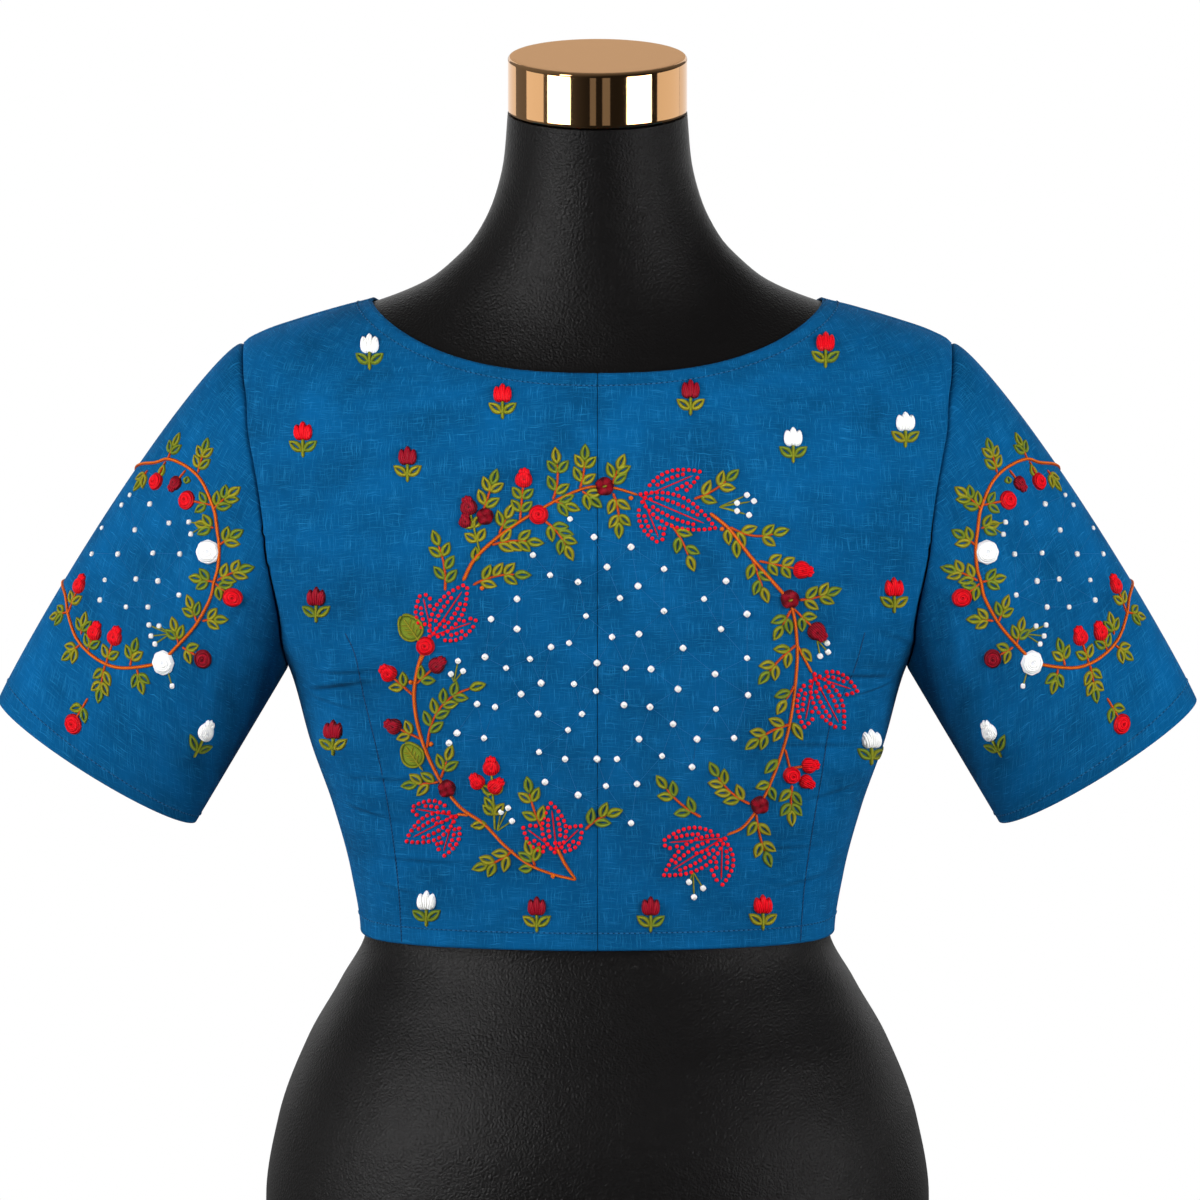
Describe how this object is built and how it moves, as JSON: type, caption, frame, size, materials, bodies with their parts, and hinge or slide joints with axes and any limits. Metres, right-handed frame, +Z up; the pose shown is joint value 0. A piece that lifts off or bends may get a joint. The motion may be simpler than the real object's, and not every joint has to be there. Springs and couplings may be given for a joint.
{
  "type": "embroidered blouse on a limbless dress form",
  "caption": "Cropped blue slub-cotton blouse with elbow sleeves and a stitched flower wreath on its back, on a black limbless form with a metal neck cap.",
  "frame": {"origin": "middle of the form's flat base", "axes": "+Z up to the neck cap, +Y out of the wearer's front, +X to the wearer's right, so the embroidered back with its centre seam faces -Y"},
  "size_m": [0.6316, 0.2447, 0.7],
  "materials": {
    "cotton": "matte",
    "leatherette": "satin",
    "rose_gold": "polished",
    "thread": "satin"
  },
  "bodies": {
    "root": {"back_left": "cotton", "back_right": "cotton", "front_left": "cotton", "front_right": "cotton", "front_placket": "cotton", "sleeve_left": "cotton", "sleeve_right": "cotton", "form_torso": "leatherette", "neck_cap": "rose_gold"}
  },
  "joints": []
}
